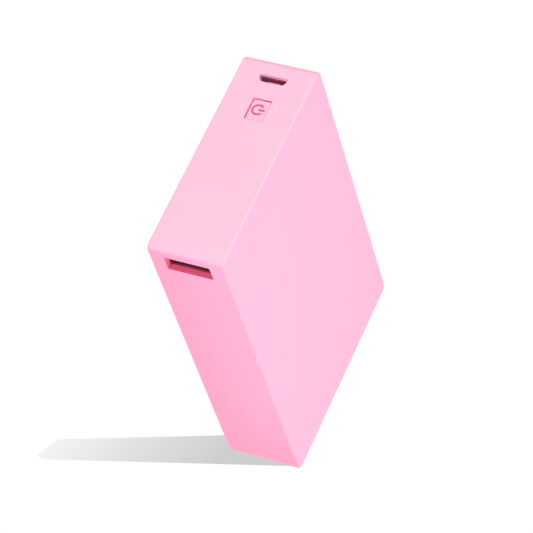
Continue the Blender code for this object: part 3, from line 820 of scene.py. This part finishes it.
def make_outlet_contacts(material):
    """Four sprung strips, each bowed away from the tongue near its tip."""
    for number, name in enumerate(CONTACT_NAMES, 1):
        low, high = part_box(name)
        size, middle = high - low, (low + high) / 2
        run = [Vector((high.x - share * size.x, middle.y - bow, middle.z)) for share, bow in CONTACT_SHAPE]
        bm = bmesh.new()
        strip(bm, curved(run, CONTACT_STEPS), (0, 0, 1), size.z, size.y)
        piece = mesh_object(f"outlet_contact_{number}", bm, material)
        smooth(piece, angle=30)
        finish_piece(piece, "case", "contact_metal", name)


# ---------------------------------------------------------------- micro-USB inlet

MICRO_OUTER = (2.2 * MM, 7.9 * MM)
MICRO_OUTER_CORNER = 0.45 * MM
MICRO_INNER = (1.75 * MM, 7.5 * MM)
MICRO_INNER_CORNER = 0.4 * MM
MICRO_LIP_ROUND = 0.06 * MM
MICRO_FLARE = 0.06 * MM
MICRO_MOUTH_DEPTH = 0.4 * MM
MICRO_FLOOR = 0.5 * MM
MICRO_TONGUE_EDGE_ROUND = (0.1 * MM, 2)
MICRO_TONGUE_TIP_ROUND = (0.15 * MM, 3)
MICRO_CONTACTS = 5
MICRO_PITCH = 0.65 * MM

# A contact's width and thickness, how far its middle lies off the tongue, and how far it stops short of the
# tongue's root and tip
MICRO_CONTACT = (0.26 * MM, 0.08 * MM)
MICRO_CONTACT_OFFSET = 0.02 * MM
MICRO_CONTACT_ENDS = (0.2 * MM, 0.35 * MM)


def make_inlet_shell(material):
    """The inlet's six-sided shell, a little way behind its window."""
    bore = micro_bore()
    bore.centre.y = CASE_HIGH.y - MICRO_MOUTH_DEPTH
    made = mesh_object("inlet_shell", cup(
        bore, six_sided(*MICRO_OUTER, MICRO_NARROWING), MICRO_OUTER_CORNER,
        six_sided(*MICRO_INNER, MICRO_NARROWING), MICRO_INNER_CORNER,
        bore.centre.y - MICRO_LOW.y, MICRO_FLOOR, MICRO_LIP_ROUND, MICRO_FLARE,
    ), material)
    smooth(made, angle=30)
    finish_piece(made, "case", "socket_metal", "micro_usb_shell")


def make_inlet_tongue(material):
    """The tongue with its rounded tip."""
    made = mesh_object("inlet_tongue", rounded_block(
        MICRO_TONGUE_LOW, MICRO_TONGUE_HIGH, 1, MICRO_TONGUE_EDGE_ROUND, MICRO_TONGUE_TIP_ROUND,
    ), material)
    smooth(made, angle=35)
    finish_piece(made, "case", "black_plastic", "micro_usb_tongue")


def make_inlet_contacts(material):
    """Five flat contacts on the tongue's wide side."""
    low, high = MICRO_TONGUE_LOW, MICRO_TONGUE_HIGH
    middle = (low + high) / 2
    depths = (low.y + MICRO_CONTACT_ENDS[0], middle.y, high.y - MICRO_CONTACT_ENDS[1])
    bm = bmesh.new()
    for number in range(MICRO_CONTACTS):
        z = middle.z + (number - (MICRO_CONTACTS - 1) / 2) * MICRO_PITCH
        run = [Vector((low.x - MICRO_CONTACT_OFFSET, y, z)) for y in depths]
        strip(bm, run, (0, 0, 1), *MICRO_CONTACT)
    contacts = mesh_object("inlet_contacts", bm, material)
    smooth(contacts, angle=30)
    finish_piece(contacts, "case", "contact_metal")


# ---------------------------------------------------------------- power button

KEY_RIM = 0.35 * MM
KEY_RIM_ROUND = (KEY_RIM, 6)
KEY_CORNER_ROUND = (0.35 * MM, 6)
KEY_PLAY = Vector((-0.12, 0, 0.12)) * MM
KEY_FLANGE = (8.8 * MM, 7.2 * MM)
KEY_FLANGE_THICKNESS = 0.8 * MM
KEY_FLANGE_GAP = 0.3 * MM
KEY_FLANGE_CORNER_ROUND = (0.6 * MM, 4)
KEY_FLANGE_RIM_ROUND = (0.1 * MM, 2)
KEY_STEM = (3.0 * MM, 3.0 * MM)
KEY_STEM_ROUND = (0.25 * MM, 3)
KEY_STEM_SUNK = 0.3 * MM

# The symbol: its ring's middle line, the bar's two ends from the ring's centre, and the ink's height
SYMBOL_RADIUS = 1.55 * MM
SYMBOL_STROKE = 0.7 * MM
SYMBOL_HALF_GAP = math.radians(46)
SYMBOL_BAR = (0.1 * MM, 2.1 * MM)
SYMBOL_HEIGHT = 0.02 * MM
SYMBOL_SUNK = 0.03 * MM
RING_STEPS = 48
BAR_STEPS = 4
STROKE_END_STEPS = 5


def make_key(material):
    """The key: a cap with a soft rim, the flange that keeps it in, and the stem that meets the switch."""
    centre = button_bore().centre
    flange_top = CASE_HIGH.y - WALL - KEY_FLANGE_GAP
    flange_low = flange_top - KEY_FLANGE_THICKNESS

    def block(size, low_y, high_y, side, rim=(0, 1), play=Vector()):
        half = Vector((size[0] / 2, 0, size[1] / 2))
        low, high = centre - half + play, centre + half + play
        low.y, high.y = low_y, high_y
        return rounded_block(low, high, 1, side, rim)

    cap_low = flange_top - 2 * KEY_RIM
    cap = block(BUTTON_CAP, cap_low, CASE_HIGH.y, KEY_CORNER_ROUND, KEY_RIM_ROUND, KEY_PLAY)
    flange = block(KEY_FLANGE, flange_low, flange_top, KEY_FLANGE_CORNER_ROUND, KEY_FLANGE_RIM_ROUND)
    stem = block(KEY_STEM, BUTTON_LOW.y, flange_low + KEY_STEM_SUNK, KEY_STEM_ROUND)
    key = mesh_object("power_key", cap)
    boolean(key, flange, "UNION")
    boolean(key, stem, "UNION")
    key.data.materials.append(material)
    smooth(key, angle=35)
    finish_piece(key, "button", "button_plastic", "power_button")


def printed_stroke(name, path, length, steps, material):
    """A printed line with round ends. path(distance) gives a point on it, and the direction across it."""
    half = SYMBOL_STROKE / 2
    turns = [math.pi / 2 * step / STROKE_END_STEPS for step in range(1, STROKE_END_STEPS)]
    start = [(-half * math.cos(turn), half * math.sin(turn)) for turn in turns]
    stations = start + [(length * step / steps, half) for step in range(steps + 1)]
    stations += [(length - distance, width) for distance, width in reversed(start)]
    origin = button_bore().centre
    below, above = Vector((0, -SYMBOL_SUNK, 0)), Vector((0, SYMBOL_HEIGHT, 0))
    rings = []
    for distance, width in stations:
        point, side = path(distance)
        one, two = (origin + point + side * width * sign for sign in (-1, 1))
        rings.append([one + below, two + below, two + above, one + above])
    bm = bmesh.new()
    loft(bm, rings)
    piece = mesh_object(name, bm, material)
    smooth(piece, angle=30)
    finish_piece(piece, "button", "icon_ink")


def make_symbol(material):
    """The usual power sign: an open ring with a bar in its gap, which points away from the back cover."""
    half = SYMBOL_STROKE / 2

    def round_path(distance):
        angle = SYMBOL_HALF_GAP + distance / SYMBOL_RADIUS
        outwards = Vector((math.sin(angle), 0, math.cos(angle)))
        return outwards * SYMBOL_RADIUS, outwards

    def straight_path(distance):
        return Vector((0, 0, SYMBOL_BAR[0] + half + distance)), Vector((1, 0, 0))

    ring_length = 2 * (math.pi - SYMBOL_HALF_GAP) * SYMBOL_RADIUS
    bar_length = SYMBOL_BAR[1] - SYMBOL_BAR[0] - 2 * half
    printed_stroke("power_symbol_ring", round_path, ring_length, RING_STEPS, material)
    printed_stroke("power_symbol_bar", straight_path, bar_length, BAR_STEPS, material)


# ---------------------------------------------------------------- stage, lights and camera

def stage_material(name, tint=(1, 1, 1)):
    """An even glow, from above only: from below it lets everything through.

    Gives its nodes, and the socket for how strong the glow is in the camera's view.
    """
    n = Nodes(name)
    glow = n.add("Emission", {"Color": (*tint, 1)})
    by_ray = n.add("MapRange", {"To Min": FLOOR_LIGHT, "To Max": 1.0})
    n.link(n.add("LightPath").outputs["Is Camera Ray"], by_ray.inputs["Value"])
    n.link(by_ray.outputs["Result"], glow.inputs["Strength"])
    see_through = n.add("BsdfTransparent")
    mix = n.add("MixShader")
    n.link(n.add("NewGeometry").outputs["Backfacing"], mix.inputs["Fac"])
    n.link(glow.outputs["Emission"], mix.inputs[1])
    n.link(see_through.outputs["BSDF"], mix.inputs[2])
    n.link(mix.outputs["Shader"], n.output.inputs["Surface"])
    return n, by_ray.inputs["To Max"]


def make_floor():
    """A white floor under the corner edge that the bank stands on."""
    bm = bmesh.new()
    bmesh.ops.create_grid(bm, x_segments=1, y_segments=1, size=FLOOR_SIZE / 2)
    n, _ = stage_material("stage_floor")
    floor = mesh_object("floor", bm, n.material)
    floor.matrix_world = floor_matrix()


def make_floor_shadow():
    """The bank's long shadow: a thin sheet on the floor, dark beside the bank and fading away from it."""
    n, seen_strength = stage_material("stage_shadow", SHADOW_TINT)
    along = n.add("SeparateXYZ")
    n.link(n.place(), along.inputs["Vector"])
    fade = n.add("MapRange", {"From Min": SHADOW_FADE_START, "From Max": SHADOW_FADE_END})
    n.link(along.outputs["Y"], fade.inputs["Value"])
    n.link(n.between(fade.outputs["Result"], SHADOW_GREYS), seen_strength)
    bm = bmesh.new()
    bm.faces.new([bm.verts.new((-across, -z, SHADOW_LIFT)) for across, z in SHADOW_OUTLINE])
    shadow = mesh_object("floor_shadow", bm, n.material)
    face_is_downwards = shadow.data.polygons[0].normal.z < 0
    if face_is_downwards:
        shadow.data.flip_normals()
    shadow.matrix_world = floor_matrix()


def floor_matrix():
    """Floor axes: X against ACROSS, Y along the corner edge towards the back cover, Z up."""
    turn = Matrix((-ACROSS, Vector((0, 0, -1)), UP)).transposed()
    return Matrix.Translation(FLOOR_POINT) @ turn.to_4x4()


def make_world():
    """White to the camera, and a softer white light on the bank."""
    world = bpy.data.worlds.new("studio")
    world.use_nodes = True
    tree = world.node_tree
    background = tree.nodes["Background"]
    background.inputs["Color"].default_value = (1, 1, 1, 1)
    seen = tree.nodes.new("ShaderNodeLightPath").outputs["Is Camera Ray"]
    strength = tree.nodes.new("ShaderNodeMapRange")
    strength.inputs["To Min"].default_value = WORLD_LIGHT
    strength.inputs["To Max"].default_value = 1.0
    tree.links.new(seen, strength.inputs["Value"])
    tree.links.new(strength.outputs["Result"], background.inputs["Strength"])
    bpy.context.scene.world = world


def make_light(name, place, aim, size, power, colour=(1, 1, 1)):
    """A soft rectangular light at place, turned to aim. size is (along its X, along its Y)."""
    data = bpy.data.lights.new(name, "AREA")
    data.shape = "RECTANGLE"
    data.size, data.size_y = size
    data.energy = power
    data.color = colour
    light = bpy.data.objects.new(name, data)
    light.location = place
    light.rotation_euler = (Vector(place) - Vector(aim)).to_track_quat("Z", "Y").to_euler()
    light.visible_camera = False
    bpy.context.scene.collection.objects.link(light)


def stage_point(across, up, z):
    """A place by the stage's own directions, from the row frame's origin."""
    return ACROSS * across + UP * up + Vector((0, 0, z))


def make_lights():
    """A warm light above, three on the near faces, and a dim strip by the edge of the outlet's side."""
    middle = CASE_CENTRE
    edge = Vector((CASE_LOW.x, 0, CASE_HIGH.z))
    make_light(
        "top_light", stage_point(0.25, 0.50, 0.05), middle, size=(0.3, 0.3), power=4.8, colour=(1, 1, 0.775),
    )
    make_light(
        "front_light", stage_point(0, 0.08, 0.6), middle, size=(0.25, 0.25), power=3.0, colour=(1, 1, 0.93),
    )
    make_light(
        "low_front_light", stage_point(0.08, -0.05, 0.2), middle, size=(0.12, 0.12), power=0.27,
        colour=(1, 1, 0.8),
    )
    make_light("side_light", stage_point(0.90, 0, -0.34), middle, size=(0.25, 0.25), power=3.95)
    strip_place, strip_aim = edge - Vector((17, 0, 1.5)) * MM, edge - Vector((0, 0, 6.5)) * MM
    make_light("edge_strip", strip_place, strip_aim, size=(0.2, 0.006), power=0.006)


def make_camera():
    back = Vector((
        math.sin(CAMERA_AZIMUTH) * math.cos(CAMERA_ELEVATION),
        -math.cos(CAMERA_AZIMUTH) * math.cos(CAMERA_ELEVATION),
        math.sin(CAMERA_ELEVATION),
    ))
    right = UP.cross(back).normalized()
    level = Matrix((right, back.cross(right), back)).transposed()
    turn = Matrix.Rotation(CAMERA_ROLL, 3, back) @ level
    data = bpy.data.cameras.new("camera")
    data.sensor_width = CAMERA_SENSOR_MM
    data.lens = CAMERA_LENS_MM
    data.clip_start = CAMERA_NEAREST
    camera = bpy.data.objects.new("camera", data)
    camera.matrix_world = Matrix.Translation(CAMERA_AIM + back * CAMERA_DISTANCE) @ turn.to_4x4()
    bpy.context.scene.collection.objects.link(camera)
    bpy.context.scene.camera = camera


# ---------------------------------------------------------------- everything

def dress(node, material):
    """Gives a CAD node that stays a finished material."""
    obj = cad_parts[node]
    obj.data.materials.clear()
    obj.data.materials.append(material)


CAN = (0.75, 0.76, 0.78)
FOIL = (0.62, 0.63, 0.65)
NICKEL = (0.66, 0.63, 0.58)
EPOXY = (0.022, 0.022, 0.024)
FERRITE = (0.045, 0.043, 0.042)
FOAM = (0.10, 0.10, 0.105)
TAPE = (0.84, 0.84, 0.81)
LEAD_RED = (0.5, 0.02, 0.02)
LEAD_BLACK = (0.02, 0.02, 0.02)


def dress_insides(black):
    """Finished materials for the CAD nodes inside the case."""
    chip = moulded("chip_epoxy", EPOXY, 0.55, grain_scale=6000.0, grain_depth=0.012 * MM)
    ferrite = moulded("inductor_ferrite", FERRITE, 0.62, grain_scale=3000.0, grain_depth=0.02 * MM)
    nickel = brushed_metal("tab_nickel", NICKEL, 0.32, stretch=(1.0, 0.03, 1.0))
    board = solder_mask("board_solder_mask")
    foam = closed_cell_foam("foam_cells", FOAM)
    foil = pouch_foil("cell_foil", FOIL)
    can = brushed_metal("capacitor_aluminium", CAN, 0.28, stretch=(1.0, 0.04, 1.0))
    tabs = [f"cell_{cell}_tab_{pole}" for cell in ("front", "back") for pole in ("positive", "negative")]
    finishes = {
        board: ["main_board", "protection_board"],
        chip: ["power_controller", "mosfet_1", "mosfet_2", "protection_chip"],
        ferrite: ["boost_inductor"],
        can: ["input_capacitor", "output_capacitor"],
        foil: ["cell_front", "cell_back"],
        nickel: tabs,
        paper_tape("cell_tape_paper", TAPE): ["cell_tape"],
        foam: ["foam_pad_front", "foam_pad_back"],
        silicone("lead_red_silicone", LEAD_RED): ["battery_lead_positive"],
        silicone("lead_black_silicone", LEAD_BLACK): ["battery_lead_negative"],
        black: ["switch_body", "switch_plunger"],
    }
    for material, nodes in finishes.items():
        for node in nodes:
            dress(node, material)


# The sockets' steel, and the dark plastic in them, are painted with a pink tint: a painted reflection of the
# pink case round them. INK is the symbol's printed colour.
STEEL_PAINTED_PINK = (0.50, 0.25, 0.28)
INLET_STEEL_PAINTED_PINK = (0.76, 0.43, 0.58)
GOLD = (0.85, 0.50, 0.26)
BLACK_PAINTED_PINK = (0.10, 0.016, 0.026)
TONGUE_PAINTED_PINK = (0.46, 0.045, 0.18)
INK = (0.33, 0.056, 0.15)

make_camera()
pink = case_plastic("case_plastic_fine", PINK)
recess_shade_pink = case_plastic("case_plastic_painted_recess_shade", RECESS_SHADE_PINK, RECESS_PAINTED_GLOW)
key_pink = case_plastic("key_plastic_fine", PINK, roughness=KEY_ROUGHNESS, gloss=KEY_GLOSS)
gap_shade_pink = case_plastic("case_plastic_painted_gap_shade", GAP_SHADE_PINK, GAP_PAINTED_GLOW)
steel = plated_metal("socket_steel_worn_with_painted_pink_reflection", STEEL_PAINTED_PINK, roughness=0.4)
inlet_steel = plated_metal("inlet_steel_worn_with_painted_pink_reflection", INLET_STEEL_PAINTED_PINK, roughness=0.5)
black = moulded("black_plastic_painted_pink_bounce", BLACK_PAINTED_PINK, roughness=0.5)
gold = plated_metal("contact_gold_plate", GOLD)
tongue_painted_pink = moulded("inlet_plastic_painted_pink_bounce", TONGUE_PAINTED_PINK, roughness=0.5)
ink = moulded("symbol_ink", INK, 0.5, grain_scale=9000.0, grain_depth=0.002 * MM, variation=0.04)
make_case(pink, recess_shade_pink, gap_shade_pink)
make_key(key_pink)
make_symbol(ink)
make_outlet_shell(steel)
make_outlet_fingers(steel)
make_outlet_legs(steel)
make_outlet_block(black)
make_outlet_contacts(gold)
make_inlet_shell(inlet_steel)
make_inlet_tongue(tongue_painted_pink)
make_inlet_contacts(gold)
dress("back_cover", pink)
dress_insides(black)
make_floor()
make_floor_shadow()
make_world()
make_lights()
bpy.context.scene.view_settings.view_transform = "Standard"
